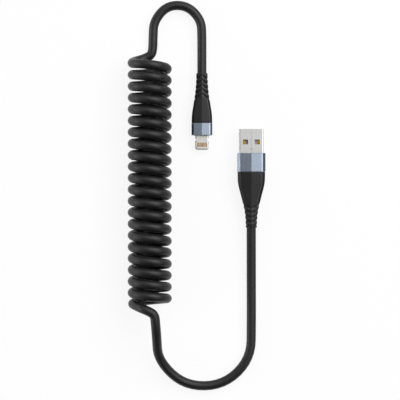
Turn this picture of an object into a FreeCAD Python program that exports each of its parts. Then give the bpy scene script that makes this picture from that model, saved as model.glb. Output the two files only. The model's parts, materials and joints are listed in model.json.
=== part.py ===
import FreeCAD, Part
import math
import os
import re
import Sketcher
from FreeCAD import Placement, Rotation, Vector

# Coiled charging cable, lying on a flat surface as it comes to rest.
# The origin is under the middle of the host plug's collar, on that surface.
# +Y is the way the host plug goes in, +Z is up. All sizes are in millimetres.

SIZES = {
    # Fits between moulded and assembled pieces
    "snug": 0.02,
    "overcut": 1.0,
    # Cord and coil
    "cord_diameter": 4.6,
    "coil_diameter": 21.5,
    "coil_length": 123.45,
    "coil_x": -49.6,
    "coil_end_y": 52.25,
    "wire_diameter": 0.8,
    "wire_spacing": 1.2,
    # Host plug: shell of folded sheet and its windows
    "shell_width": 12.0,
    "shell_height": 4.5,
    "shell_sheet": 0.3,
    "shell_corner": 0.64,
    "shell_reach": 11.75,
    "shell_seat": 7.0,
    "window_width": 2.5,
    "window_length": 2.4,
    "window_spacing": 5.7,
    "window_setback": 5.16,
    "seam_gap": 0.08,
    "clinch_width": 1.3,
    "clinch_length": 0.4,
    "clinch_setback": 1.6,
    # Host plug: tongue and contacts
    "tongue_setback": 0.4,
    "mating_space": 1.95,
    "mating_depth": 8.9,
    "host_contact_width": 1.0,
    "host_contact_sheet": 0.2,
    "host_contact_proud": 0.05,
    "host_outer_pitch": 7.0,
    "host_inner_pitch": 2.0,
    "power_contact_setback": 0.9,
    "data_contact_setback": 1.9,
    "host_contact_tail": 1.9,
    # Host plug: inner mould, collar and boot
    "host_mould_side": 0.2,
    "host_mould_face": 0.3,
    "host_mould_recess": 0.4,
    "host_collar_length": 9.25,
    "host_collar_side": 0.875,
    "host_collar_face": 1.75,
    "host_collar_rise": 0.6,
    "host_collar_corner": 2.0,
    "host_collar_bevel": 1.5,
    "host_collar_bevel_slope": 36.0,
    "host_collar_bevel_round": 1.6,
    "host_collar_edge": 0.2,
    "host_boot_step": 0.15,
    "host_boot_length": 27.3,
    "host_shoulder_at": 5.6,
    "host_shoulder_width": 12.95,
    "host_waist_at": 12.2,
    "host_waist_width": 9.8,
    "host_neck_at": 17.5,
    "host_neck_width": 7.25,
    "host_throat_at": 22.5,
    "host_throat_width": 5.8,
    "host_end_width": 5.4,
    "host_end_height": 5.5,
    "host_end_rise": 0.25,
    "host_end_corner": 2.2,
    "host_groove_count": 5,
    "host_groove_pitch": 2.27,
    "host_groove_width": 0.8,
    "host_groove_depth": 0.4,
    "host_groove_end_depth": 0.12,
    "host_groove_slope": 20.0,
    "host_groove_margin": 0.7,
    "host_grip": 14.0,
    # Phone plug: place, tab and contacts
    "phone_x": -24.2,
    "phone_y": 16.45,
    "tab_width": 6.7,
    "tab_height": 1.5,
    "tab_reach": 7.1,
    "tab_seat": 3.2,
    "tab_tip_corner": 1.2,
    "tab_edge": 0.6,
    "latch_radius": 0.8,
    "latch_depth": 0.4,
    "latch_setback": 4.9,
    "insert_width": 5.7,
    "insert_length": 3.0,
    "insert_setback": 1.0,
    "insert_corner": 0.5,
    "phone_contact_count": 8,
    "phone_contact_pitch": 0.65,
    "phone_contact_width": 0.42,
    "phone_contact_length": 2.2,
    "phone_contact_proud": 0.03,
    # Phone plug: board, shield can and what is soldered on
    "board_width": 5.2,
    "board_height": 0.6,
    "board_nose": 0.4,
    "board_length": 17.0,
    "can_width": 7.2,
    "can_height": 3.0,
    "can_sheet": 0.15,
    "can_length": 8.0,
    "chip_side": 2.4,
    "chip_height": 0.8,
    "chip_setback": 2.0,
    "capacitor_length": 1.0,
    "capacitor_height": 0.5,
    "capacitor_gap": 1.0,
    # Phone plug: inner mould, collar and boot
    "phone_mould_side": 0.35,
    "phone_mould_face": 0.35,
    "phone_mould_recess": 0.3,
    "phone_collar_length": 6.2,
    "phone_collar_side": 1.5,
    "phone_collar_face": 1.3,
    "phone_collar_rise": 0.45,
    "phone_collar_corner": 1.7,
    "phone_collar_bevel": 1.2,
    "phone_collar_bevel_slope": 36.0,
    "phone_collar_bevel_round": 1.2,
    "phone_collar_edge": 0.2,
    "phone_boot_step": 0.03,
    "phone_boot_length": 24.3,
    "phone_shoulder_at": 4.0,
    "phone_shoulder_width": 9.8,
    "phone_waist_at": 9.0,
    "phone_waist_width": 8.3,
    "phone_neck_at": 13.2,
    "phone_neck_width": 7.0,
    "phone_throat_at": 18.2,
    "phone_throat_width": 6.0,
    "phone_end_width": 5.4,
    "phone_end_height": 5.3,
    "phone_end_rise": 0.25,
    "phone_end_corner": 2.2,
    "phone_groove_count": 5,
    "phone_groove_pitch": 2.3,
    "phone_groove_width": 0.8,
    "phone_groove_depth": 0.24,
    "phone_groove_end_depth": 0.12,
    "phone_groove_slope": 30.0,
    "phone_groove_margin": 0.6,
    "phone_grip": 13.2,
}

doc = FreeCAD.newDocument("coiled_charging_cable")
sheet = doc.addObject("Spreadsheet::Sheet", "Sizes")
for row, (alias, size) in enumerate(SIZES.items(), start=1):
    sheet.set(f"A{row}", alias)
    sheet.set(f"B{row}", str(size))
    sheet.setAlias(f"B{row}", alias)
doc.recompute()

pieces = []


# Sizes and expressions

def cells(formula):
    """The formula with each size's name written as its cell in the sheet."""
    return re.sub(r"[a-z][a-z0-9_]*",
                  lambda word: f"Sizes.{word.group()}" if word.group() in SIZES else word.group(),
                  str(formula))


def value(formula):
    return float(sheet.evalExpression(cells(formula)))


def bind(thing, **formulas):
    for name, formula in formulas.items():
        thing.setExpression(name, cells(formula))


def keep(thing, label):
    """Give a finished piece its node name and put it on the list of pieces."""
    thing.Label = label
    pieces.append(thing)
    return thing


# The two plugs point opposite ways, and their pieces are placed from one plug's own formulas

class Plug:
    """A plug's place: its own +Y is the way it goes in, and its own origin is under its collar."""

    def __init__(self, name, place_x, place_y, turned):
        self.name = name
        self.place_x = place_x
        self.place_y = place_y
        self.sign = "-" if turned else "+"
        self.turn = Rotation(Vector(0, 0, 1), 180 if turned else 0)

    def size(self, word):
        return f"{self.name}_{word}"

    def place(self, thing, x="0", y="0", z="0", turn=None):
        thing.Placement = Placement(Vector(), self.turn.multiply(turn or Rotation()))
        thing.setExpression("Placement.Base.x", cells(f"{self.place_x} {self.sign} ({x})"))
        thing.setExpression("Placement.Base.y", cells(f"{self.place_y} {self.sign} ({y})"))
        thing.setExpression("Placement.Base.z", cells(z))
        return thing

    def point(self, x, y, z):
        base = Vector(value(self.place_x), value(self.place_y), 0)
        return base + self.turn.multVec(Vector(value(x), value(y), value(z)))


HOST = Plug("host", "0", "0", turned=False)
PHONE = Plug("phone", "phone_x", "phone_y", turned=True)

HOST_AXIS = "(host_collar_face + shell_height / 2)"
PHONE_AXIS = "(phone_collar_face + can_height / 2)"


# Shapes that many pieces use

def box(plug, name, x, y, z):
    """A block between two formulas along each of the plug's axes."""
    block = doc.addObject("Part::Box", name)
    bind(block, Length=f"({x[1]}) - ({x[0]})", Width=f"({y[1]}) - ({y[0]})", Height=f"({z[1]}) - ({z[0]})")
    return plug.place(block, x[0], y[0], z[0])


def middle(width, centre="0"):
    return f"{centre} - ({width}) / 2", f"{centre} + ({width}) / 2"


def rod(plug, name, start_y, length, z, radius):
    cylinder = doc.addObject("Part::Cylinder", name)
    bind(cylinder, Radius=radius, Height=length)
    return plug.place(cylinder, "0", start_y, z, Rotation(Vector(1, 0, 0), -90))


def fuse(name, shapes):
    joined = doc.addObject("Part::MultiFuse", name)
    joined.Shapes = shapes
    return joined


def cut(name, base, tools):
    less = doc.addObject("Part::Cut", name)
    less.Base = base
    less.Tool = tools[0] if len(tools) == 1 else fuse(f"{name}_tools", tools)
    return less


def new_body(plug, name):
    body = doc.addObject("PartDesign::Body", name)
    body.AllowCompound = True
    return plug.place(body)


def new_sketch(body, name, role, offset="0"):
    sketch = body.newObject("Sketcher::SketchObject", name)
    plane = next(item for item in body.Origin.OriginFeatures if item.Role == role)
    sketch.AttachmentSupport = (plane, [""])
    sketch.MapMode = "FlatFace"
    sketch.setExpression("AttachmentOffset.Base.z", cells(offset))
    return sketch


def new_feature(body, kind, name, profile, **formulas):
    feature = body.newObject(f"PartDesign::{kind}", name)
    feature.Profile = profile
    bind(feature, **formulas)
    return feature


def measure(sketch, kind, places, formula):
    """A driving measure of a sketch, bound to the sheet."""
    index = sketch.addConstraint(Sketcher.Constraint(kind, *places, value(formula)))
    sketch.setExpression(f"Constraints[{index}]", cells(formula))


def relate(sketch, kind, *places):
    sketch.addConstraint(Sketcher.Constraint(kind, *places))


START, END, CENTRE = range(1, 4)
LEVEL_AXIS, UPRIGHT_AXIS = range(-1, -3, -1)
ORIGIN = (LEVEL_AXIS, START)


def line(sketch, start, end):
    return sketch.addGeometry(Part.LineSegment(Vector(*start, 0), Vector(*end, 0)), False)


def arc(sketch, centre, radius, first, last):
    circle = Part.Circle(Vector(*centre, 0), Vector(0, 0, 1), radius)
    return sketch.addGeometry(Part.ArcOfCircle(circle, math.radians(first), math.radians(last)), False)


def rounded_outline(sketch, width, low, top, corner, rise="0"):
    """A rounded outline that is even about the upright axis; with a rise, its top is a low roof."""
    half = value(width) / 2
    radius = value(corner)
    base = value(low)
    roofed = value(rise) > 0
    slope = value(rise) / half
    ridge = value(top)
    tilt = math.degrees(math.atan(slope))
    inner = half - radius
    shoulder = f"{top} - ({width} / 2 - {corner}) * {rise} / ({width} / 2)" \
               f" - {corner} * sqrt(1 + ({rise} / ({width} / 2))^2)"
    upper = value(shoulder)
    edge = (inner + radius * math.sin(math.radians(tilt)), upper + radius * math.cos(math.radians(tilt)))

    bottom = line(sketch, (-inner, base), (inner, base))
    low_right = arc(sketch, (inner, base + radius), radius, -90, 0)
    right = line(sketch, (half, base + radius), (half, upper))
    top_right = arc(sketch, (inner, upper), radius, 0, 90 - tilt)
    if roofed:
        roof = [line(sketch, edge, (0, ridge)), line(sketch, (0, ridge), (-edge[0], edge[1]))]
    else:
        roof = [line(sketch, edge, (-edge[0], edge[1]))]
    top_left = arc(sketch, (-inner, upper), radius, 90 + tilt, 180)
    left = line(sketch, (-half, upper), (-half, base + radius))
    low_left = arc(sketch, (-inner, base + radius), radius, 180, 270)

    for first, second in ((bottom, low_right), (low_right, right), (right, top_right), (top_right, roof[0]),
                          (roof[-1], top_left), (top_left, left), (left, low_left), (low_left, bottom)):
        relate(sketch, "Tangent", first, END, second, START)
    for other in (top_right, top_left, low_left):
        relate(sketch, "Equal", low_right, other)
    relate(sketch, "Vertical", right)
    relate(sketch, "Vertical", left)
    relate(sketch, "Symmetric", bottom, START, bottom, END, UPRIGHT_AXIS)
    measure(sketch, "Radius", (low_right,), corner)
    measure(sketch, "DistanceX", (left, END, right, START), width)
    measure(sketch, "DistanceY", (*ORIGIN, bottom, START), low)
    if roofed:
        relate(sketch, "Coincident", roof[0], END, roof[1], START)
        relate(sketch, "PointOnObject", roof[0], END, UPRIGHT_AXIS)
        relate(sketch, "Horizontal", top_right, CENTRE, top_left, CENTRE)
        measure(sketch, "DistanceY", (*ORIGIN, roof[0], END), top)
        measure(sketch, "DistanceY", (*ORIGIN, top_right, CENTRE), shoulder)
    else:
        relate(sketch, "Horizontal", roof[0])
        measure(sketch, "DistanceY", (*ORIGIN, roof[0], START), top)


def rectangle(sketch, width, low, top, centre="0"):
    """A plain rectangle in a sketch, its middle at the given distance along the sketch's X."""
    left, right = value(f"{centre} - ({width}) / 2"), value(f"{centre} + ({width}) / 2")
    floor, roof = value(low), value(top)
    corners = [(left, floor), (right, floor), (right, roof), (left, roof)]
    sides = [line(sketch, corners[i], corners[(i + 1) % 4]) for i in range(4)]
    for first, second in zip(sides, sides[1:] + sides[:1]):
        relate(sketch, "Coincident", first, END, second, START)
    for level in sides[0::2]:
        relate(sketch, "Horizontal", level)
    for upright in sides[1::2]:
        relate(sketch, "Vertical", upright)
    measure(sketch, "DistanceX", (sides[0], START, sides[0], END), width)
    measure(sketch, "DistanceX", (*ORIGIN, sides[0], END), f"{centre} + ({width}) / 2")
    measure(sketch, "DistanceY", (*ORIGIN, sides[0], START), low)
    measure(sketch, "DistanceY", (*ORIGIN, sides[2], START), top)


# Cords and wires: straight runs joined by tangent arcs

ARC_SHARE = 0.45


def rounded_path(points):
    """The path along the points and the radius of the arc at each inner point."""
    edges, radii = [], []
    start = points[0]
    for before, corner, after in zip(points, points[1:], points[2:]):
        arrive = (corner - before).normalize()
        leave = (after - corner).normalize()
        turn = arrive.getAngle(leave)
        trim = ARC_SHARE * min((corner - before).Length, (after - corner).Length)
        radii.append(trim / math.tan(turn / 2))
        first, last = corner - arrive * trim, corner + leave * trim
        inward = (leave - arrive).normalize()
        reach = radii[-1] / math.cos(turn / 2) - radii[-1]
        edges.append(Part.LineSegment(start, first).toShape())
        edges.append(Part.Arc(first, corner + inward * reach, last).toShape())
        start = last
    edges.append(Part.LineSegment(start, points[-1]).toShape())
    return Part.Wire(edges), radii


def tube(name, points, diameter):
    """A round tube along the points; its volume has to be its section times its length."""
    path, radii = rounded_path(points)
    circle = Part.Circle(points[0], points[1] - points[0], diameter / 2).toShape()
    shape = path.makePipeShell([Part.Wire([circle])], True, False)
    section = math.pi * diameter ** 2 / 4
    assert abs(shape.Volume / (section * path.Length) - 1) < 0.001, name
    feature = doc.addObject("Part::Feature", name)
    feature.Shape = shape
    return feature, path.Length, radii


# Collars and boots, which both plugs have

def plug_width(plug):
    core = "shell_width" if plug is HOST else "can_width"
    return f"({core} + 2 * {plug.size('collar_side')})"


def plug_height(plug):
    core = "shell_height" if plug is HOST else "can_height"
    return f"({core} + 2 * {plug.size('collar_face')})"


def plug_axis(plug):
    return HOST_AXIS if plug is HOST else PHONE_AXIS


def mould_size(plug):
    core = "shell" if plug is HOST else "can"
    width = f"({core}_width + 2 * {plug.size('mould_side')})"
    height = f"({core}_height + 2 * {plug.size('mould_face')})"
    return width, height


def collar_outline(sketch, plug):
    """The collar's section: a flat underside with round corners, and a low roof with bevelled sides."""
    width, top = plug_width(plug), plug_height(plug)
    corner, turn = plug.size("collar_corner"), plug.size("collar_bevel_round")
    bevel, slope = plug.size("collar_bevel"), f"({plug.size('collar_bevel_slope')} * 1 deg)"
    fall = f"({plug.size('collar_rise')} / ({width} / 2))"
    meet_x = f"({width} / 2 - {bevel})"
    meet_z = f"({top} - {meet_x} * {fall})"
    bite = f"({turn} * tan(({slope} - atan({fall})) / 2))"
    centre_x = f"({meet_x} + {bite} * cos({slope}) - {turn} * sin({slope}))"
    centre_z = f"({meet_z} - {bite} * sin({slope}) - {turn} * cos({slope}))"
    edge = f"({meet_z} - {bevel} * tan({slope}))"

    half, radius, ridge, edge_z = (value(size) for size in (f"{width} / 2", corner, top, edge))
    round_x, round_z, round_radius = (value(size) for size in (centre_x, centre_z, turn))
    steep = value(plug.size("collar_bevel_slope"))
    gentle = math.degrees(math.atan(value(fall)))

    def round_end(side, tilt):
        across, up = math.sin(math.radians(tilt)), math.cos(math.radians(tilt))
        return side * (round_x + round_radius * across), round_z + round_radius * up

    bottom = line(sketch, (radius - half, 0), (half - radius, 0))
    low_right = arc(sketch, (half - radius, radius), radius, -90, 0)
    right = line(sketch, (half, radius), (half, edge_z))
    bevel_right = line(sketch, (half, edge_z), round_end(1, steep))
    top_right = arc(sketch, (round_x, round_z), round_radius, 90 - steep, 90 - gentle)
    roof_right = line(sketch, round_end(1, gentle), (0, ridge))
    roof_left = line(sketch, (0, ridge), round_end(-1, gentle))
    top_left = arc(sketch, (-round_x, round_z), round_radius, 90 + gentle, 90 + steep)
    bevel_left = line(sketch, round_end(-1, steep), (-half, edge_z))
    left = line(sketch, (-half, edge_z), (-half, radius))
    low_left = arc(sketch, (radius - half, radius), radius, 180, 270)

    for first, second in ((bottom, low_right), (low_right, right), (bevel_right, top_right),
                          (top_right, roof_right), (roof_left, top_left), (top_left, bevel_left),
                          (left, low_left), (low_left, bottom)):
        relate(sketch, "Tangent", first, END, second, START)
    for first, second in ((right, bevel_right), (roof_right, roof_left), (bevel_left, left)):
        relate(sketch, "Coincident", first, END, second, START)
    relate(sketch, "Equal", low_right, low_left)
    relate(sketch, "Equal", top_right, top_left)
    relate(sketch, "Vertical", right)
    relate(sketch, "Vertical", left)
    relate(sketch, "Symmetric", bottom, START, bottom, END, UPRIGHT_AXIS)
    relate(sketch, "Symmetric", top_right, CENTRE, top_left, CENTRE, UPRIGHT_AXIS)
    relate(sketch, "PointOnObject", roof_right, END, UPRIGHT_AXIS)
    relate(sketch, "PointOnObject", bottom, START, LEVEL_AXIS)
    relate(sketch, "Horizontal", right, END, left, START)
    measure(sketch, "Radius", (low_right,), corner)
    measure(sketch, "Radius", (top_right,), turn)
    measure(sketch, "DistanceX", (left, END, right, START), width)
    measure(sketch, "DistanceX", (*ORIGIN, top_right, CENTRE), centre_x)
    measure(sketch, "DistanceY", (*ORIGIN, top_right, CENTRE), centre_z)
    measure(sketch, "DistanceY", (*ORIGIN, right, END), edge)
    measure(sketch, "DistanceY", (*ORIGIN, roof_right, END), top)


def collar(plug):
    """The metal sleeve round the plug, with a low bevelled roof along its upper face and a flat underside."""
    name = plug.size("collar")
    length = plug.size("collar_length")
    body = new_body(plug, name)
    outline = new_sketch(body, f"{name}_outline", "XZ_Plane", f"-{length} / 2")
    collar_outline(outline, plug)
    pad = new_feature(body, "Pad", f"{name}_pad", outline, Length=length)
    doc.recompute()
    rims = [f"Edge{i}" for i, edge in enumerate(pad.Shape.Edges, start=1)
            if abs(edge.BoundBox.YLength) < value("snug")]
    chamfer = body.newObject("PartDesign::Chamfer", f"{name}_chamfer")
    chamfer.Base = (pad, rims)
    bind(chamfer, Size=plug.size("collar_edge"))
    width, height = mould_size(plug)
    bore = new_sketch(body, f"{name}_bore", "XZ_Plane", f"-{length} / 2")
    rectangle(bore, f"{width} + 2 * snug", f"{plug_axis(plug)} - {height} / 2 - snug",
              f"{plug_axis(plug)} + {height} / 2 + snug")
    pocket = new_feature(body, "Pocket", f"{name}_pocket", bore)
    pocket.Type = "ThroughAll"
    pocket.Reversed = True
    doc.recompute()
    assert pocket.Shape.Volume < chamfer.Shape.Volume, name
    body.Tip = pocket
    return keep(body, name)


def boot_form(plug, name, inset, end_inset):
    """The boot's outer form, tapered from the collar to the cord, or the same form set in for its grooves."""
    body = new_body(plug, name)
    size = plug.size
    step = size("boot_step")
    length = size("boot_length")
    front_width = f"({plug_width(plug)} - 2 * {step})"
    front_height = f"({plug_height(plug)} - 2 * {step})"
    stations = [("0", front_width, inset),
                (size("shoulder_at"), size("shoulder_width"), inset),
                (size("waist_at"), size("waist_width"), inset),
                (size("neck_at"), size("neck_width"), inset),
                (size("throat_at"), size("throat_width"), f"(({inset} + {end_inset}) / 2)"),
                (length, size("end_width"), end_inset)]
    sections = []
    for index, (at, width, depth) in enumerate(stations):
        share = f"({at} / {length})"
        height = f"({front_height} + ({size('end_height')} - {front_height}) * {share})"
        corner = f"({size('collar_corner')} + ({size('end_corner')} - {size('collar_corner')}) * {share})"
        rise = f"({size('collar_rise')} + ({size('end_rise')} - {size('collar_rise')}) * {share})"
        section = new_sketch(body, f"{name}_section_{index}", "XZ_Plane",
                             f"{size('collar_length')} / 2 + {at}")
        rounded_outline(section, f"({width} - 2 * {depth})",
                        f"{plug_axis(plug)} - {height} / 2 + {depth}",
                        f"({plug_axis(plug)} + {height} / 2 - {depth})",
                        f"({corner} - {depth})", rise)
        sections.append(section)
    loft = body.newObject("PartDesign::AdditiveLoft", f"{name}_loft")
    loft.Profile = sections[0]
    loft.Sections = sections[1:]
    body.Tip = loft
    return body


def groove_plates(plug):
    """Bent plates, their bend towards the cord, that mark where the boot's neck is grooved."""
    size = plug.size
    name = size("groove_plates")
    body = new_body(plug, name)
    sketch = new_sketch(body, f"{name}_outline", "XY_Plane")
    width = f"({plug_width(plug)})"
    half = value(width) / 2
    climb = f"({width} / 2 * tan({size('groove_slope')} * 1 deg))"
    rise = value(climb)
    thick = value(size("groove_width"))
    bend = f"({size('collar_length')} / 2 + {size('boot_length')} - {size('groove_margin')})"
    low = -value(bend)
    corners = [(0, low), (half, low + rise), (half, low + rise + thick),
               (0, low + thick), (-half, low + rise + thick), (-half, low + rise)]
    sides = [line(sketch, corners[i], corners[(i + 1) % 6]) for i in range(6)]
    for first, second in zip(sides, sides[1:] + sides[:1]):
        relate(sketch, "Coincident", first, END, second, START)
    relate(sketch, "Vertical", sides[1])
    relate(sketch, "Vertical", sides[4])
    relate(sketch, "PointOnObject", sides[0], START, UPRIGHT_AXIS)
    relate(sketch, "PointOnObject", sides[3], START, UPRIGHT_AXIS)
    relate(sketch, "Symmetric", sides[0], END, sides[5], START, UPRIGHT_AXIS)
    relate(sketch, "Horizontal", sides[2], START, sides[4], START)
    measure(sketch, "DistanceX", (sides[5], START, sides[0], END), width)
    measure(sketch, "DistanceY", (sides[0], START, *ORIGIN), bend)
    measure(sketch, "DistanceY", (sides[0], START, sides[0], END), climb)
    measure(sketch, "DistanceY", (sides[0], START, sides[3], START), size("groove_width"))
    measure(sketch, "DistanceY", (sides[1], START, sides[1], END), size("groove_width"))
    pad = new_feature(body, "Pad", f"{name}_pad", sketch, Length=f"2 * {plug_height(plug)} + overcut")
    pad.Midplane = True
    pattern = body.newObject("PartDesign::LinearPattern", f"{name}_pattern")
    pattern.Originals = [pad]
    along = next(item for item in body.Origin.OriginFeatures if item.Role == "Y_Axis")
    pattern.Direction = (along, [""])
    bind(pattern, Length=f"{size('groove_pitch')} * ({size('groove_count')} - 1)",
         Occurrences=size("groove_count"))
    body.Tip = pattern
    return body


def boot(plug, hollows):
    """The moulded strain relief, with its bent grooves, the bore for the cord and the wires' channels."""
    name = plug.size("boot")
    form = boot_form(plug, f"{name}_form", "0", "0")
    core = boot_form(plug, f"{name}_core", plug.size("groove_depth"), plug.size("groove_end_depth"))
    rings = cut(f"{name}_rings", groove_plates(plug), [core])
    grooved = cut(f"{name}_grooved", form, [rings])
    back = f"-{plug.size('collar_length')} / 2 - {plug.size('boot_length')}"
    bore = rod(plug, f"{name}_bore", f"{back} - overcut", f"{plug.size('grip')} + overcut",
               plug_axis(plug), "cord_diameter / 2 + snug")
    return keep(cut(name, grooved, [bore] + hollows), name)


WIRE_NAMES = ("power", "data_minus", "data_plus", "ground")


def wires(plug, solder_places, solder_y, bend_y):
    """Four insulated wires from their solder places to the end of the cord's jacket."""
    jacket_y = f"(-{plug.size('collar_length')} / 2 - {plug.size('boot_length')} + {plug.size('grip')})"
    channels = []
    for index, (word, (x, z)) in enumerate(zip(WIRE_NAMES, solder_places)):
        side = "-" if index < 2 else "+"
        level = "-" if index in (0, 3) else "+"
        bundle_x = f"{side} wire_spacing / 2"
        bundle_z = f"{plug_axis(plug)} {level} wire_spacing / 2"
        points = [plug.point(x, solder_y, z),
                  plug.point(x, bend_y, z),
                  plug.point(bundle_x, f"{jacket_y} + 2 * wire_spacing", bundle_z),
                  plug.point(bundle_x, jacket_y, bundle_z)]
        name = f"{plug.name}_wire_{word}"
        keep(tube(name, points, value("wire_diameter"))[0], name)
        channels.append(tube(f"{name}_channel", points, value("wire_diameter + 2 * snug"))[0])
    return channels


# Host plug

HOST_FRONT = "(host_collar_length / 2)"
HOST_MOUTH = "(host_collar_length / 2 + shell_reach)"
HOST_SHELL_BACK = "(host_collar_length / 2 - shell_seat)"
TONGUE_TOP = "(host_collar_face + shell_height - shell_sheet - mating_space)"


def host_shell():
    """The plug's shell, folded from sheet with an open seam, a clinch and two windows in each wide face."""
    body = new_body(HOST, "host_shell")
    tube_outline = new_sketch(body, "host_shell_outline", "XZ_Plane", f"-{HOST_MOUTH}")
    rounded_outline(tube_outline, "shell_width", "host_collar_face",
                    "(host_collar_face + shell_height)", "shell_corner")
    rounded_outline(tube_outline, "(shell_width - 2 * shell_sheet)", "host_collar_face + shell_sheet",
                    "(host_collar_face + shell_height - shell_sheet)", "(shell_corner - shell_sheet)")
    pad = new_feature(body, "Pad", "host_shell_pad", tube_outline, Length="shell_reach + shell_seat")
    windows = new_sketch(body, "host_shell_windows", "XY_Plane")
    for side in ("-", ""):
        rectangle(windows, "window_width", f"{HOST_MOUTH} - window_setback - window_length",
                  f"{HOST_MOUTH} - window_setback", f"{side}window_spacing / 2")
    holes = new_feature(body, "Pocket", "host_shell_holes", windows)
    holes.Type = "ThroughAll"
    holes.Reversed = True
    fold = new_sketch(body, "host_shell_fold", "XY_Plane", HOST_AXIS)
    rectangle(fold, "seam_gap", HOST_SHELL_BACK, HOST_MOUTH)
    seam = new_feature(body, "Pocket", "host_shell_seam", fold, Length="shell_height")
    seam.Reversed = True
    stamp = new_sketch(body, "host_shell_stamp", "XY_Plane", HOST_AXIS)
    rectangle(stamp, "clinch_width", f"{HOST_FRONT} + clinch_setback",
              f"{HOST_FRONT} + clinch_setback + clinch_length")
    clinch = new_feature(body, "Pocket", "host_shell_clinch", stamp, Length="shell_height")
    clinch.Reversed = True
    doc.recompute()
    volumes = [step.Shape.Volume for step in (pad, holes, seam, clinch)]
    assert volumes == sorted(volumes, reverse=True) and len(set(volumes)) == len(volumes), volumes
    body.Tip = clinch
    return keep(body, "host_shell")


def host_contacts():
    """Four contact strips on the tongue, as (place across, block, slot in the insulator)."""
    top = f"{TONGUE_TOP} + host_contact_proud"
    rows = (("-host_outer_pitch / 2", "power_contact_setback"),
            ("-host_inner_pitch / 2", "data_contact_setback"),
            ("host_inner_pitch / 2", "data_contact_setback"),
            ("host_outer_pitch / 2", "power_contact_setback"))
    slots = []
    for word, (x, setback) in zip(WIRE_NAMES, rows):
        name = f"host_contact_{word}"
        tip = f"{HOST_MOUTH} - tongue_setback - {setback}"
        tail = f"{HOST_SHELL_BACK} - host_contact_tail"
        strip = box(HOST, name, middle("host_contact_width", x), (tail, tip),
                    (f"{top} - host_contact_sheet", top))
        keep(strip, name)
        slots.append(box(HOST, f"{name}_slot", middle("host_contact_width + 2 * snug", x),
                         (f"{tail} - snug", f"{tip} + snug"),
                         (f"{top} - host_contact_sheet - snug", f"{top} + snug")))
    return [x for x, _ in rows], slots


def host_insulator(slots):
    """The insulator: a block that fills the shell's back and a tongue under the mating space."""
    width = "shell_width - 2 * shell_sheet - 2 * snug"
    low = "host_collar_face + shell_sheet + snug"
    high = "host_collar_face + shell_height - shell_sheet - snug"
    block = box(HOST, "host_insulator_block", middle(width),
                (HOST_SHELL_BACK, f"{HOST_MOUTH} - mating_depth"), (low, high))
    tongue = box(HOST, "host_insulator_tongue", middle(width),
                 (HOST_SHELL_BACK, f"{HOST_MOUTH} - tongue_setback"), (low, TONGUE_TOP))
    joined = fuse("host_insulator_joined", [block, tongue])
    rounded = doc.addObject("Part::Fillet", "host_insulator_rounded")
    rounded.Base = joined
    doc.recompute()
    outer = value(width) / 2
    radius = value("shell_corner - shell_sheet")
    rounded.Edges = [(i, radius, radius) for i, edge in enumerate(joined.Shape.Edges, start=1)
                     if edge.BoundBox.XLength + edge.BoundBox.ZLength < value("snug")
                     and abs(abs(edge.CenterOfMass.x) - outer) < value("snug")
                     and (edge.CenterOfMass.z < value(HOST_AXIS) - radius
                          or edge.CenterOfMass.z > value(TONGUE_TOP) + radius)]
    return keep(cut("host_insulator", rounded, slots), "host_insulator")


def host_inner_mould(slots, channels):
    """The first moulding, which holds the shell, the contacts' tails and the wires inside the collar."""
    width, height = mould_size(HOST)
    block = box(HOST, "host_inner_mould_block", middle(width),
                (f"-{HOST_FRONT}", f"{HOST_FRONT} - host_mould_recess"),
                (f"{HOST_AXIS} - {height} / 2", f"{HOST_AXIS} + {height} / 2"))
    seat = box(HOST, "host_inner_mould_seat", middle("shell_width + 2 * snug"),
               (HOST_SHELL_BACK, f"{HOST_FRONT} + overcut"),
               (f"{HOST_AXIS} - shell_height / 2 - snug", f"{HOST_AXIS} + shell_height / 2 + snug"))
    return keep(cut("host_inner_mould", block, [seat] + slots + channels), "host_inner_mould")


def host_plug():
    host_shell()
    places, slots = host_contacts()
    solder_z = f"{TONGUE_TOP} + host_contact_proud + wire_diameter / 2"
    solder_y = f"{HOST_SHELL_BACK} - snug"
    channels = wires(HOST, [(x, solder_z) for x in places], solder_y, f"-{HOST_FRONT} - 2 * wire_spacing")
    host_insulator(slots)
    host_inner_mould(slots, channels)
    collar(HOST)
    boot(HOST, channels)


# Phone plug

PHONE_FRONT = "(phone_collar_length / 2)"
TAB_TIP = "(phone_collar_length / 2 + tab_reach)"
TAB_BACK = "(phone_collar_length / 2 - tab_seat)"
INSERT_FRONT = f"({TAB_TIP} - insert_setback)"
INSERT_BACK = f"({TAB_TIP} - insert_setback - insert_length)"
BOARD_FRONT = f"({INSERT_FRONT} - board_nose)"
BOARD_BACK = f"({BOARD_FRONT} - board_length)"
BOARD_TOP = f"({PHONE_AXIS} + board_height / 2)"
BOARD_UNDER = f"({PHONE_AXIS} - board_height / 2)"
TAB_TOP = f"({PHONE_AXIS} + tab_height / 2)"
TAB_UNDER = f"({PHONE_AXIS} - tab_height / 2)"


def board_slot(name):
    return box(PHONE, name, middle("board_width + 2 * snug"),
               (f"{BOARD_BACK} - snug", f"{BOARD_FRONT} + snug"),
               (f"{BOARD_UNDER} - snug", f"{BOARD_TOP} + snug"))


def insert_block(name, fit):
    """The block that fills the tab's window, with rounded corners, or with a fit the window itself."""
    body = new_body(PHONE, name)
    sketch = new_sketch(body, f"{name}_outline", "XY_Plane", f"{TAB_UNDER} - {fit}")
    rounded_outline(sketch, f"(insert_width + 2 * {fit})", f"{INSERT_BACK} - {fit}",
                    f"({INSERT_FRONT} + {fit})", f"(insert_corner + {fit})")
    pad = new_feature(body, "Pad", f"{name}_pad", sketch, Length=f"tab_height + 2 * {fit}")
    body.Tip = pad
    return body


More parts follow.
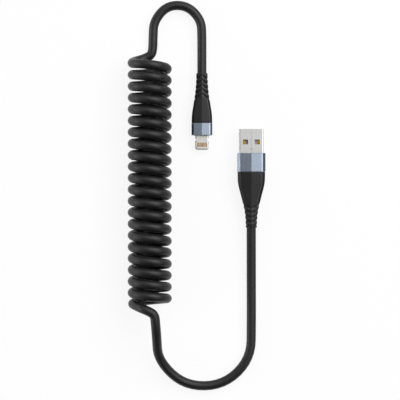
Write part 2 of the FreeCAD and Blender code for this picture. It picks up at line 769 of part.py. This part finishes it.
def phone_tab():
    """The tab's metal frame, with a window through it, a slot for the board and a latch notch each side."""
    body = new_body(PHONE, "phone_tab_blank")
    sketch = new_sketch(body, "phone_tab_outline", "XY_Plane", TAB_UNDER)
    rounded_outline(sketch, "tab_width", TAB_BACK, TAB_TIP, "tab_tip_corner")
    pad = new_feature(body, "Pad", "phone_tab_pad", sketch, Length="tab_height")
    doc.recompute()
    rims = [f"Edge{i}" for i, edge in enumerate(pad.Shape.Edges, start=1)
            if edge.BoundBox.ZLength < value("snug")]
    fillet = body.newObject("PartDesign::Fillet", "phone_tab_edges")
    fillet.Base = (pad, rims)
    bind(fillet, Radius="tab_edge")
    body.Tip = fillet
    notches = []
    for side in ("-", ""):
        notch = doc.addObject("Part::Cylinder", "phone_tab_notch")
        bind(notch, Radius="latch_radius", Height="tab_height + 2 * overcut")
        notches.append(PHONE.place(notch, f"{side}(tab_width / 2 + latch_radius - latch_depth)",
                                   f"{TAB_TIP} - latch_setback", f"{TAB_UNDER} - overcut"))
    window = insert_block("phone_tab_window", "snug")
    return keep(cut("phone_tab", body, notches + [window, board_slot("phone_tab_slot")]), "phone_tab")


def phone_contacts():
    """Eight contacts on each face of the tab, standing on the board through the insert."""
    slots = []
    middle_y = f"({INSERT_FRONT} + {INSERT_BACK}) / 2"
    faces = {"front": (BOARD_TOP, f"{TAB_TOP} + phone_contact_proud"),
             "back": (f"{TAB_UNDER} - phone_contact_proud", BOARD_UNDER)}
    for face, levels in faces.items():
        for index in range(SIZES["phone_contact_count"]):
            name = f"phone_contact_{face}_{index + 1}"
            x = f"({index} - (phone_contact_count - 1) / 2) * phone_contact_pitch"
            keep(box(PHONE, name, middle("phone_contact_width", x),
                     middle("phone_contact_length", middle_y), levels), name)
            slots.append(box(PHONE, f"{name}_slot", middle("phone_contact_width + 2 * snug", x),
                             middle("phone_contact_length + 2 * snug", middle_y),
                             (f"{levels[0]} - snug", f"{levels[1]} + snug")))
    return slots


def phone_insert(contact_slots):
    """The insulating insert in the tab's window, open for the board's nose and the contacts."""
    block = insert_block("phone_insert_block", "0")
    keep(cut("phone_insert", block, contact_slots + [board_slot("phone_insert_slot")]), "phone_insert")


def phone_board():
    """The circuit board, with a chip and two capacitors on its upper side."""
    keep(box(PHONE, "phone_board", middle("board_width"), (BOARD_BACK, BOARD_FRONT),
             (BOARD_UNDER, BOARD_TOP)), "phone_board")
    chip_front = f"{TAB_BACK} - chip_setback"
    keep(box(PHONE, "phone_chip", middle("chip_side"), (f"{chip_front} - chip_side", chip_front),
             (BOARD_TOP, f"{BOARD_TOP} + chip_height")), "phone_chip")
    for word, side in (("left", "-"), ("right", "")):
        x = f"{side}(chip_side + capacitor_gap) / 2"
        keep(box(PHONE, f"phone_capacitor_{word}", middle("capacitor_height", x),
                 middle("capacitor_length", f"{chip_front} - chip_side / 2"),
                 (BOARD_TOP, f"{BOARD_TOP} + capacitor_height")), f"phone_capacitor_{word}")


def can_block(name, fit):
    return box(PHONE, name, middle(f"can_width + 2 * {fit}"), (f"{TAB_BACK} - can_length - {fit}", TAB_BACK),
               (f"{PHONE_AXIS} - can_height / 2 - {fit}", f"{PHONE_AXIS} + can_height / 2 + {fit}"))


def phone_can():
    """The shield can, a sheet-metal sleeve round the board, closed against the back of the tab."""
    hollow = box(PHONE, "phone_can_hollow", middle("can_width - 2 * can_sheet"),
                 (f"{TAB_BACK} - can_length - overcut", f"{TAB_BACK} - can_sheet"),
                 (f"{PHONE_AXIS} - can_height / 2 + can_sheet", f"{PHONE_AXIS} + can_height / 2 - can_sheet"))
    can = cut("phone_can", can_block("phone_can_block", "0"), [hollow, board_slot("phone_can_slot")])
    return keep(can, "phone_can")


def phone_inner_mould():
    """The first moulding, which holds the tab and the shield can inside the collar."""
    width, height = mould_size(PHONE)
    block = box(PHONE, "phone_inner_mould_block", middle(width),
                (f"-{PHONE_FRONT}", f"{PHONE_FRONT} - phone_mould_recess"),
                (f"{PHONE_AXIS} - {height} / 2", f"{PHONE_AXIS} + {height} / 2"))
    seat = box(PHONE, "phone_inner_mould_seat", middle("tab_width + 2 * snug"),
               (TAB_BACK, f"{PHONE_FRONT} + overcut"), (f"{TAB_UNDER} - snug", f"{TAB_TOP} + snug"))
    return keep(cut("phone_inner_mould", block, [seat, can_block("phone_inner_mould_room", "snug")]),
                "phone_inner_mould")


def phone_plug():
    phone_tab()
    phone_insert(phone_contacts())
    phone_board()
    phone_can()
    phone_inner_mould()
    collar(PHONE)
    solder_z = f"{BOARD_TOP} + wire_diameter / 2"
    places = [(f"{step} * wire_spacing / 2", solder_z) for step in (-3, -1, 1, 3)]
    channels = wires(PHONE, places, f"{BOARD_BACK} + wire_spacing", f"{BOARD_BACK} - wire_spacing")
    boot(PHONE, channels + [can_block("phone_boot_room", "snug"), board_slot("phone_boot_slot")])


# Cord: a lead to each plug and the coil between them

def jacket_end(plug, beyond):
    """A point on the plug's axis, so far behind the end of the cord's jacket."""
    back = f"-{plug.size('collar_length')} / 2 - {plug.size('boot_length')} + {plug.size('grip')}"
    return plug.point("0", f"{back} - {beyond}", plug_axis(plug))


def leads():
    diameter = value("cord_diameter")
    floor = diameter / 2
    coil_end = value("coil_end_y")
    coil_start = value("coil_end_y - coil_length")
    host_route = [jacket_end(HOST, 0), jacket_end(HOST, 26), Vector(0.1, -70.4, floor),
                  Vector(-0.1, -96.6, floor), Vector(-13.5, -109.7, floor), Vector(-32.7, -109.8, 3.2),
                  Vector(-45.6, -96.8, 8.0), Vector(-46.3, -82.4, 18.5), Vector(-46.3, coil_start, 18.5)]
    phone_route = [jacket_end(PHONE, 0), jacket_end(PHONE, 19.5), Vector(-24.5, 70, floor),
                   Vector(-31.4, 77.35, floor), Vector(-41.4, 77.3, floor), Vector(-47.85, 69.6, floor),
                   Vector(-48.25, 61.6, floor), Vector(-48.25, coil_end, floor)]
    for name, route in (("host_lead", host_route), ("phone_lead", phone_route)):
        lead, length, radii = tube(name, route, diameter)
        keep(lead, name)
        print(name, "length", round(length, 1), "radii", [round(radius, 1) for radius in radii])


def coil():
    """The coiled stretch, as one thick tube of the coil's outer diameter."""
    tools = []
    for name, radius, extra in (("coil_outside", "coil_diameter / 2", "0"),
                                ("coil_hollow", "coil_diameter / 2 - cord_diameter", "overcut")):
        cylinder = doc.addObject("Part::Cylinder", name)
        bind(cylinder, Radius=radius, Height=f"coil_length + 2 * {extra}")
        cylinder.Placement = Placement(Vector(), Rotation(Vector(1, 0, 0), 90))
        cylinder.setExpression("Placement.Base.x", cells("coil_x"))
        cylinder.setExpression("Placement.Base.y", cells(f"coil_end_y + {extra}"))
        cylinder.setExpression("Placement.Base.z", cells("coil_diameter / 2"))
        tools.append(cylinder)
    keep(cut("coil", tools[0], tools[1:]), "coil")


host_plug()
phone_plug()
leads()
coil()
doc.recompute()

for thing in doc.Objects:
    assert not {"Invalid", "Error"} & set(thing.State), (thing.Name, thing.State)
for piece in pieces:
    assert not piece.Shape.isNull() and piece.Shape.isValid(), piece.Label
    assert len(piece.Shape.Solids) == 1, (piece.Label, len(piece.Shape.Solids))

os.makedirs("parts", exist_ok=True)
for piece in pieces:
    piece.Shape.exportStep(f"parts/{piece.Label}.step")
print(len(pieces), "pieces")
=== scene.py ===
import json
import math

import bpy
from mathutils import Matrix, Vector


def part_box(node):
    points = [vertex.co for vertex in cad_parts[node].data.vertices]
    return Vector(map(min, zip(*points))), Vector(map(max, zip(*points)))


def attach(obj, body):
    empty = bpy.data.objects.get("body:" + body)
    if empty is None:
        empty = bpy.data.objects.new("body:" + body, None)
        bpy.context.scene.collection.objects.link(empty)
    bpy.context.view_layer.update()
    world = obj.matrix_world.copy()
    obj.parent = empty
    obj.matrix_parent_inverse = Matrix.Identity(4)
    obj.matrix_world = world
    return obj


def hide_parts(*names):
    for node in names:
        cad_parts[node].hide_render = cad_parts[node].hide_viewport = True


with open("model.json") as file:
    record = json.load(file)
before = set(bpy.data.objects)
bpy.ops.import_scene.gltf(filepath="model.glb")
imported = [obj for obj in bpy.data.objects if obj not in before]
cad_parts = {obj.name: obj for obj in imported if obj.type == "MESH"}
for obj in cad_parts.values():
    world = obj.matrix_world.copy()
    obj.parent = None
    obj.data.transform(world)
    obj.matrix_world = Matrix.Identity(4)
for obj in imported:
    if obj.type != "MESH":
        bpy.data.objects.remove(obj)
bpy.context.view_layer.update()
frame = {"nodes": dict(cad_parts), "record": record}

MM = 0.001

# Sizes and places are in millimetres, in the frame of the solids

CAMERA_PLACE = (-25.15, -18.4, 740.4)
CAMERA_LENS = 135
CAMERA_NEAR = 10
FLOOR_SIDE = 6000

# Cord: the points of its route at both plugs, as the solids have them
CORD_DIAMETER = 4.6
CORD_FLOOR = CORD_DIAMETER / 2
HOST_ROUTE = [(0, -22, 4.0), (0, -34.4, 4.0), (0.1, -56, CORD_FLOOR), (0.15, -78.5, CORD_FLOOR),
              (-0.1, -96.6, CORD_FLOOR), (-13.5, -109.7, CORD_FLOOR), (-32.7, -109.8, 3.2),
              (-45.6, -96.8, 8.0), (-46.1, -84.2, 16.8)]
PHONE_ROUTE = [(-48.25, 61.6, CORD_FLOOR), (-47.85, 69.6, CORD_FLOOR), (-41.4, 77.3, CORD_FLOOR),
               (-31.4, 77.35, CORD_FLOOR), (-24.5, 70, CORD_FLOOR), (-24.22, 61.2, CORD_FLOOR),
               (-24.22, 52, 2.5), (-24.2, 41.15, 2.8), (-24.2, 34, 2.8)]

# Coil: its turns, and the points that lead into and out of them
COIL_X = -49.6
COIL_RADIUS = 8.45
COIL_HEIGHT = COIL_RADIUS + CORD_FLOOR
COIL_PITCH = 5.58
COIL_TURNS = 21
COIL_FIRST_Y = 48.15
COIL_STEPS = 14
HOST_COIL_END = [(-46.5, -78.5, 18.8), (-46.9, -73.9, 19.2), (-49.2, -72.2, 19.4), (-53.2, -70.6, 18.8)]
PHONE_COIL_END = [(-58.0, 49.1, 6.6), (-55.6, 50.1, 3.5), (-52.3, 51.2, CORD_FLOOR),
                  (-49, 52.9, CORD_FLOOR), (-48.3, 56.6, CORD_FLOOR)]

# Boots: widths at places along them; heights, lower corners and ridge rises at the collar and at the cord;
# the width, slope in degrees and round of the upper edges' bevels at both; and the ribs, by the first
# groove's place on the ridge, their pitch, number and slope in degrees
HOST_BOOT = {"widths": [(0, 13.45), (5.6, 12.95), (12.2, 9.8), (17.5, 7.25), (22.5, 5.8), (27.3, 5.4)],
             "heights": (7.7, 5.5), "corners": (2.0, 2.2), "rises": (0.6, 0.25),
             "bevels": ((1.5, 36, 1.6), (1.0, 38, 1.2)), "ribs": (18.1, 2.3, 5, 26)}
PHONE_BOOT = {"widths": [(0, 10.14), (4.0, 9.8), (9.0, 8.3), (13.2, 7.0), (18.2, 6.0), (24.3, 5.4)],
              "heights": (5.54, 5.3), "corners": (1.7, 2.2), "rises": (0.45, 0.25),
              "bevels": ((1.2, 36, 1.2), (1.0, 38, 1.2)), "ribs": (13.8, 2.3, 5, 30)}
# A groove's half width, its depth, its share of that depth at the ridge, and where across it is deepest
GROOVE_HALF = 0.8
GROOVE_DEPTH = 0.6
RIDGE_DEPTH = 0.08
FULL_DEPTH_AT = 0.65
BOOT_ROUND = 0.3
# Steps of the boots' meshes, along them and round their sections
BODY_ROW = 0.5
RIB_ROW = 0.12
FLAT_STEPS = 6
FACET_STEPS = 2
ROUND_STEPS = 8
ROOF_SHARES = (0.12, 0.24, 0.36, 0.48, 0.6, 0.72, 0.84, 0.95)
SEAM_MERGE = 0.001
SMOOTH_ANGLE = 40


# Shader maths

class Value:
    """A socket's value in a node tree; arithmetic on it adds Math nodes."""

    def __init__(self, nodes, socket):
        self.nodes = nodes
        self.socket = socket

    def math(self, operation, *values):
        return self.nodes.node("ShaderNodeMath", {"operation": operation}, values)

    def output(self, name):
        """Another output of the node that this value comes from."""
        return Value(self.nodes, self.socket.node.outputs[name])

    def __add__(self, other):
        return self.math("ADD", self, other)

    def __sub__(self, other):
        return self.math("SUBTRACT", self, other)

    def __rsub__(self, other):
        return self.math("SUBTRACT", other, self)

    def __mul__(self, other):
        return self.math("MULTIPLY", self, other)

    __radd__ = __add__
    __rmul__ = __mul__


class Nodes:
    """A node tree and the one way to add nodes to it."""

    def __init__(self, tree):
        self.tree = tree

    def node(self, kind, settings, inputs, output=0):
        made = self.tree.nodes.new(kind)
        for name, setting in settings.items():
            setattr(made, name, setting)
        pairs = inputs.items() if isinstance(inputs, dict) else enumerate(inputs)
        for name, given in pairs:
            self.feed(made.inputs[name], given)
        return Value(self, made.outputs[output])

    def feed(self, socket, given):
        if isinstance(given, Value):
            self.tree.links.new(given.socket, socket)
        else:
            socket.default_value = given

    def ramp(self, value, low, high):
        """0 below low, 1 above high, and a soft step between them."""
        limits = {"Value": value, "From Min": low, "From Max": high}
        return self.node("ShaderNodeMapRange", {"interpolation_type": "SMOOTHSTEP"}, limits)

    def blend(self, factor, first, second):
        """Two colours mixed by a value."""
        return self.node("ShaderNodeMix", {"data_type": "RGBA"}, {0: factor, 6: first, 7: second}, 2)


class Finish(Nodes):
    """A material, its shader and the place on the surface that its patterns follow."""

    def __init__(self, name):
        self.material = bpy.data.materials.new(name)
        self.material.use_nodes = True
        super().__init__(self.material.node_tree)
        self.shader = self.tree.nodes["Principled BSDF"]
        self.place = self.node("ShaderNodeTexCoord", {}, {}, "Object")

    def set(self, **inputs):
        for name, given in inputs.items():
            self.feed(self.shader.inputs[name.replace("_", " ")], given)
        return self

    def noise(self, scale, detail=3.0, stretch=(1, 1, 1)):
        place = self.node("ShaderNodeMapping", {}, {"Vector": self.place, "Scale": stretch})
        return self.node("ShaderNodeTexNoise", {}, {"Vector": place, "Scale": scale, "Detail": detail})

    def bump(self, height, strength, distance):
        bump = {"Height": height, "Strength": strength, "Distance": MM * distance}
        return self.set(Normal=self.node("ShaderNodeBump", {}, bump))


# Finishes: grains in waves to a metre, how far the roughness swings with them, and their bumps' strength and
# height

SOFT_CLOUD = 260
SOFT_GRAIN = 5200
SOFT_SWING = 0.12
SOFT_BUMP = (0.25, 0.04)
SOFT_IOR = 1.42
METAL_GRAIN = 2400
METAL_STRETCH = (1, 0.06, 1)
METAL_SWING = 0.1
METAL_BUMP = (0.06, 0.03)
PLASTIC_GRAIN = 1400
PLASTIC_BUMP = (0.1, 0.03)
MEAN_NOISE = 0.5


def soft_black(name, dark, light, rough):
    """A matt black soft plastic, with a fine moulded grain and faint cloudy shade."""
    finish = Finish(name)
    cloud = finish.noise(SOFT_CLOUD, detail=4)
    grain = finish.noise(SOFT_GRAIN, detail=2)
    finish.set(Base_Color=finish.blend(cloud, dark, light), IOR=SOFT_IOR,
               Roughness=rough + SOFT_SWING * (cloud - MEAN_NOISE))
    return finish.bump(grain, *SOFT_BUMP).material


def metal(name, dark, light, rough):
    """A plated or anodised metal with a fine grain drawn out along the plugs."""
    finish = Finish(name)
    grain = finish.noise(METAL_GRAIN, stretch=METAL_STRETCH)
    finish.set(Base_Color=finish.blend(grain, dark, light), Metallic=1.0,
               Roughness=rough + METAL_SWING * (grain - MEAN_NOISE))
    return finish.bump(grain, *METAL_BUMP).material


def plastic(name, dark, light, rough):
    """A hard plastic, lacquer or wire jacket with a faint grain."""
    finish = Finish(name)
    grain = finish.noise(PLASTIC_GRAIN)
    finish.set(Base_Color=finish.blend(grain, dark, light), Roughness=rough)
    return finish.bump(grain, *PLASTIC_BUMP).material


# Each material slot's kind of finish, its darker and lighter colour and its roughness
SLOTS = {
    "cord_black": (soft_black, (0.008, 0.008, 0.0085), (0.012, 0.012, 0.0125), 0.42),
    "boot_black": (soft_black, (0.010, 0.010, 0.0105), (0.014, 0.014, 0.0145), 0.3),
    "collar_metal": (metal, (0.29, 0.34, 0.42), (0.34, 0.39, 0.47), 0.28),
    "shell_metal": (metal, (0.66, 0.66, 0.65), (0.74, 0.74, 0.73), 0.3),
    "tab_metal": (metal, (0.66, 0.65, 0.63), (0.74, 0.73, 0.71), 0.4),
    "can_metal": (metal, (0.55, 0.55, 0.55), (0.62, 0.62, 0.62), 0.35),
    "contact_gold": (metal, (0.46, 0.24, 0.03), (0.56, 0.31, 0.06), 0.25),
    "insulator_plastic": (plastic, (0.52, 0.52, 0.53), (0.58, 0.58, 0.59), 0.5),
    "insert_plastic": (plastic, (0.74, 0.74, 0.73), (0.8, 0.8, 0.79), 0.45),
    "inner_mould": (plastic, (0.03, 0.03, 0.03), (0.045, 0.045, 0.045), 0.55),
    "board_green": (plastic, (0.01, 0.10, 0.03), (0.02, 0.14, 0.05), 0.4),
    "chip_black": (plastic, (0.012, 0.012, 0.012), (0.02, 0.02, 0.02), 0.5),
    "capacitor_tan": (plastic, (0.35, 0.24, 0.13), (0.42, 0.3, 0.17), 0.4),
    "wire_red": (plastic, (0.40, 0.01, 0.01), (0.46, 0.02, 0.015), 0.4),
    "wire_white": (plastic, (0.7, 0.7, 0.68), (0.78, 0.78, 0.76), 0.4),
    "wire_green": (plastic, (0.01, 0.22, 0.04), (0.02, 0.27, 0.06), 0.4),
    "wire_black": (plastic, (0.012, 0.012, 0.012), (0.02, 0.02, 0.02), 0.4),
}
FINISHES = {slot: kind(slot, (*dark, 1), (*light, 1), rough)
            for slot, (kind, dark, light, rough) in SLOTS.items()}


def dress_nodes():
    """Each solid gets the finish of its own slot."""
    for part in frame["record"]["subparts"]:
        materials = frame["nodes"][part["node"]].data.materials
        materials.clear()
        materials.append(FINISHES[part["material_slot"]])


# The moulded boots, which taper from a roofed section to the cord and have soft bent ribs on their necks

def curve_through(stations, at):
    """A smooth curve through (place, size) stations, its slope at each one taken from its neighbours."""
    places = [place for place, size in stations]
    sizes = [size for place, size in stations]
    last = len(stations) - 1
    index = max(i for i in range(last) if places[i] <= at)
    slopes = []
    for i in (index, index + 1):
        before, after = max(i - 1, 0), min(i + 1, last)
        slopes.append((sizes[after] - sizes[before]) / (places[after] - places[before]))
    run = places[index + 1] - places[index]
    t = (at - places[index]) / run
    start = sizes[index] * (1 + 2 * t) * (1 - t) ** 2 + slopes[0] * run * t * (1 - t) ** 2
    end = sizes[index + 1] * (3 - 2 * t) * t ** 2 - slopes[1] * run * (1 - t) * t ** 2
    return start + end


def arc(centre, radius, first, last, steps):
    """Places and outward normals along an arc."""
    turns = [first + (last - first) * step / steps for step in range(steps + 1)]
    normals = [Vector((math.cos(turn), math.sin(turn))) for turn in turns]
    return [(centre + radius * normal, normal) for normal in normals]


def bevelled_corner(half, tall, tilt, bevel):
    """An upper corner with a sloped facet and a round where the facet meets the roof."""
    width, slope, radius = bevel[0], math.radians(bevel[1]), bevel[2]
    normal = Vector((math.sin(slope), math.cos(slope)))
    down = Vector((math.cos(slope), -math.sin(slope)))
    meet = Vector((half - width, tall - (half - width) * math.tan(tilt)))
    edge = meet + width / math.cos(slope) * down
    start = meet + radius * math.tan((slope - tilt) / 2) * down
    facet = [(edge.lerp(start, step / FACET_STEPS), normal) for step in range(FACET_STEPS)]
    first, last = math.pi / 2 - slope, math.pi / 2 - tilt
    return facet + arc(start - radius * normal, radius, first, last, ROUND_STEPS - FACET_STEPS)


def half_section(half, tall, corner, rise, bevel):
    """The right half of a boot's section, from under its middle to its ridge, as places and normals."""
    tilt = math.atan2(rise, half)
    inner = half - corner
    under, ridge = Vector((0, -1)), Vector((0, tall))
    points = [(Vector((inner * step / FLAT_STEPS, -tall)), under) for step in range(FLAT_STEPS)]
    points += arc(Vector((inner, corner - tall)), corner, -math.pi / 2, 0, ROUND_STEPS)
    points += bevelled_corner(half, tall, tilt, bevel)
    edge, slope = points[-1]
    for share in ROOF_SHARES:
        points.append((edge.lerp(ridge, share), slope))
    return points + [(ridge, Vector((0, 1)))]


def groove_depth(across, along, half, ribs):
    """How deep the ribs' grooves are at a place; they bend back from the ridge to both sides."""
    first, pitch, count, slope = ribs
    past_first = along + math.tan(math.radians(slope)) * across - first
    nearest = pitch * min(max(round(past_first / pitch), 0), count - 1)
    to_groove = min(abs(past_first - nearest) / GROOVE_HALF, 1)
    full = math.sin(math.pi / 2 * across / half / FULL_DEPTH_AT) ** 2
    depth = GROOVE_DEPTH * (RIDGE_DEPTH + (1 - RIDGE_DEPTH) * full)
    return depth * (1 + math.cos(math.pi * to_groove)) / 2


def boot_rows(widths, ribs):
    """Places along a boot: close together on its rounded ends and on its ribs."""
    length = widths[-1][0]
    first, pitch, count, slope = ribs
    ribbed = first - pitch - math.tan(math.radians(slope)) * curve_through(widths, first) / 2
    turns = [math.pi / 2 * step / ROUND_STEPS for step in range(ROUND_STEPS + 1)]
    ends = [BOOT_ROUND * (1 - math.cos(turn)) for turn in turns]
    rows = list(ends)
    while rows[-1] < length - BOOT_ROUND - RIB_ROW:
        rows.append(rows[-1] + (RIB_ROW if rows[-1] > ribbed else BODY_ROW))
    return rows + [length - along for along in reversed(ends)]


def boot_ring(along, widths, heights, corners, rises, bevels, ribs):
    """A boot's section at a place along it, set in at its rounded ends and its grooves."""
    length = widths[-1][0]
    share = along / length
    tall, corner, rise = (a + (b - a) * share for a, b in (heights, corners, rises))
    bevel = [a + (b - a) * share for a, b in zip(*bevels)]
    half = curve_through(widths, along) / 2
    right = half_section(half, tall / 2, corner, rise, bevel)
    flip = Vector((-1, 1))
    left = [(place * flip, normal * flip) for place, normal in right[-2::-1]]
    to_end = min(along, length - along, BOOT_ROUND) / BOOT_ROUND
    rounded = BOOT_ROUND * (1 - math.sqrt(1 - (1 - to_end) ** 2))
    return [place - (rounded + groove_depth(abs(place.x), along, half, ribs)) * normal
            for place, normal in right + left]


def make_boot(node, way, shape):
    """A boot round its solid's axis; way is +1 or -1 along Y, from the collar to the cord."""
    low, high = (Vector(corner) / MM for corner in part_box(node))
    axis = (low + high) / 2
    front = low.y if way > 0 else high.y
    rows = boot_rows(shape["widths"], shape["ribs"])
    rings = [boot_ring(along, **shape) for along in rows]
    bpy.ops.object.select_all(action="DESELECT")
    bpy.ops.mesh.primitive_grid_add(x_subdivisions=len(rings[0]) - 1, y_subdivisions=len(rows) - 1)
    boot = bpy.context.object
    boot.name = f"{node}_moulding"
    places = [(axis.x + place.x, front + way * along, axis.z + place.y)
              for along, ring in zip(rows, rings) for place in ring]
    for vertex, place in zip(boot.data.vertices, places, strict=True):
        vertex.co = MM * Vector(place)
    bpy.ops.object.mode_set(mode="EDIT")
    bpy.ops.mesh.select_all(action="SELECT")
    bpy.ops.mesh.remove_doubles(threshold=MM * SEAM_MERGE)
    bpy.ops.mesh.fill_holes(sides=0)
    bpy.ops.mesh.normals_make_consistent(inside=False)
    bpy.ops.object.mode_set(mode="OBJECT")
    bpy.ops.object.shade_smooth_by_angle(angle=math.radians(SMOOTH_ANGLE))
    boot.data.materials.append(FINISHES["boot_black"])
    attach(boot, "root")
    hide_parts(node)
    return boot


# The cord, one spline from plug to plug with the coil's turns between its leads

def coil_points():
    """Control points of the turns, from the phone's end, a little outside the line that they shape."""
    reach = COIL_RADIUS / math.cos(math.pi / COIL_STEPS)
    points = []
    for step in range(COIL_TURNS * COIL_STEPS + 1):
        turn = 2 * math.pi * step / COIL_STEPS
        points.append((COIL_X - reach * math.cos(turn),
                       COIL_FIRST_Y - COIL_PITCH * step / COIL_STEPS,
                       COIL_HEIGHT + reach * math.sin(turn)))
    return points


def make_cord(far_boot):
    """The whole cord, from the host plug to the phone plug; far_boot is not used."""
    route = HOST_ROUTE + HOST_COIL_END + coil_points()[::-1] + PHONE_COIL_END + PHONE_ROUTE
    curve = bpy.data.curves.new("cord", "CURVE")
    curve.dimensions = "3D"
    spline = curve.splines.new("NURBS")
    spline.points.add(len(route) - 1)
    for point, place in zip(spline.points, route):
        point.co = (*(MM * along for along in place), 1)
    spline.order_u = 3
    spline.use_endpoint_u = True
    spline.resolution_u = 6
    curve.bevel_depth = MM * CORD_DIAMETER / 2
    curve.bevel_resolution = 5
    curve.use_fill_caps = True
    curve.materials.append(FINISHES["cord_black"])
    cord = bpy.data.objects.new("cord", curve)
    bpy.context.scene.collection.objects.link(cord)
    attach(cord, "root")
    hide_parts("host_lead", "coil", "phone_lead")


# Floor, light and camera

FLOOR_WHITE = (0.95, 0.95, 0.95, 1)
FLOOR_ROUGH = 0.9
FLOOR_GLOW = 0.88


def make_floor():
    """A plain white floor; part of its white is its own, so the object's shadow on it is faint."""
    bpy.ops.object.select_all(action="DESELECT")
    bpy.ops.mesh.primitive_plane_add(size=MM * FLOOR_SIDE)
    floor = bpy.context.object
    floor.name = "floor"
    finish = Finish("floor_white")
    finish.set(Base_Color=FLOOR_WHITE, Roughness=FLOOR_ROUGH)
    seen = finish.node("ShaderNodeLightPath", {}, {}, "Is Camera Ray")
    seen = seen + seen.output("Is Glossy Ray") + seen.output("Is Transmission Ray")
    glow = finish.node("ShaderNodeEmission", {}, {"Color": (1, 1, 1, 1), "Strength": 1.0})
    matt = Value(finish, finish.shader.outputs["BSDF"])
    surface = finish.node("ShaderNodeMixShader", {}, [FLOOR_GLOW * seen, matt, glow])
    finish.feed(finish.tree.nodes["Material Output"].inputs["Surface"], surface)
    floor.data.materials.append(finish.material)


# Levels of the sky's lights
SKY_BASE = 0.06
SKY_FILL = 0.3
SKY_KEY = 0.82
SKY_SIDE = 0.9
SKY_LEFT = 0.2
SKY_RIM = 2.8
# Where they fade in or out, by the direction's X, Y or Z, or by how far it goes the key light's way
FILL_FRONT = (-0.4, 0.05)
FILL_RIGHT = (0.3, 0.8)
KEY_WAY = (0.75, 0.66)
KEY_EDGE = (-0.03, 0.17)
KEY_LOW = (0.4, 0.62)
SIDE_EDGE = (0.2, 0.8)
LEFT_EDGE = (0.2, 0.7)
RIM_EDGE = (0.75, 1.0)


def light_sky():
    """A studio sky: broad soft light from the upper right, a dim fill, and a rim light low on the left."""
    world = bpy.data.worlds.new("studio")
    world.use_nodes = True
    bpy.context.scene.world = world
    sky = Nodes(world.node_tree)
    towards = sky.node("ShaderNodeTexCoord", {}, {}, "Generated")
    x = sky.node("ShaderNodeSeparateXYZ", {}, [towards])
    y, z = x.output("Y"), x.output("Z")
    fill = sky.ramp(y, *FILL_FRONT) * (1 - sky.ramp(x, *FILL_RIGHT))
    key = sky.ramp(KEY_WAY[0] * x + KEY_WAY[1] * y, *KEY_EDGE) * sky.ramp(z, *KEY_LOW)
    side = sky.ramp(x, *SIDE_EDGE)
    rim = sky.ramp(0 - x, *RIM_EDGE)
    left = sky.ramp(0 - x, *LEFT_EDGE)
    right_light = (SKY_KEY + SKY_SIDE * side) * key
    left_light = SKY_LEFT * left + SKY_RIM * rim
    background = sky.tree.nodes["Background"]
    sky.feed(background.inputs["Color"], (1, 1, 1, 1))
    sky.feed(background.inputs["Strength"], SKY_BASE + SKY_FILL * fill + right_light + left_light)


LAMP_PLACE = (425, 432, 640)
LAMP_SIDE = 800
LAMP_POWER = 4.5


def light_lamp():
    """One soft box, up and to the right, aimed at the middle of the cable."""
    lamp = bpy.data.lights.new("key", "AREA")
    lamp.size = MM * LAMP_SIDE
    lamp.energy = LAMP_POWER
    holder = bpy.data.objects.new("key", lamp)
    bpy.context.scene.collection.objects.link(holder)
    holder.location = [MM * along for along in LAMP_PLACE]
    aim = Vector((CAMERA_PLACE[0], CAMERA_PLACE[1], 0)) - Vector(LAMP_PLACE)
    holder.rotation_euler = aim.to_track_quat("-Z", "Y").to_euler()


def place_camera():
    """The camera looks straight down, as the photograph does."""
    camera = bpy.data.cameras.new("camera")
    camera.lens = CAMERA_LENS
    camera.clip_start = MM * CAMERA_NEAR
    holder = bpy.data.objects.new("camera", camera)
    bpy.context.scene.collection.objects.link(holder)
    holder.location = [MM * along for along in CAMERA_PLACE]
    bpy.context.scene.camera = holder


dress_nodes()
make_boot("host_boot", -1, HOST_BOOT)
make_cord(make_boot("phone_boot", 1, PHONE_BOOT))
make_floor()
light_sky()
light_lamp()
place_camera()
bpy.context.scene.view_settings.view_transform = "Standard"
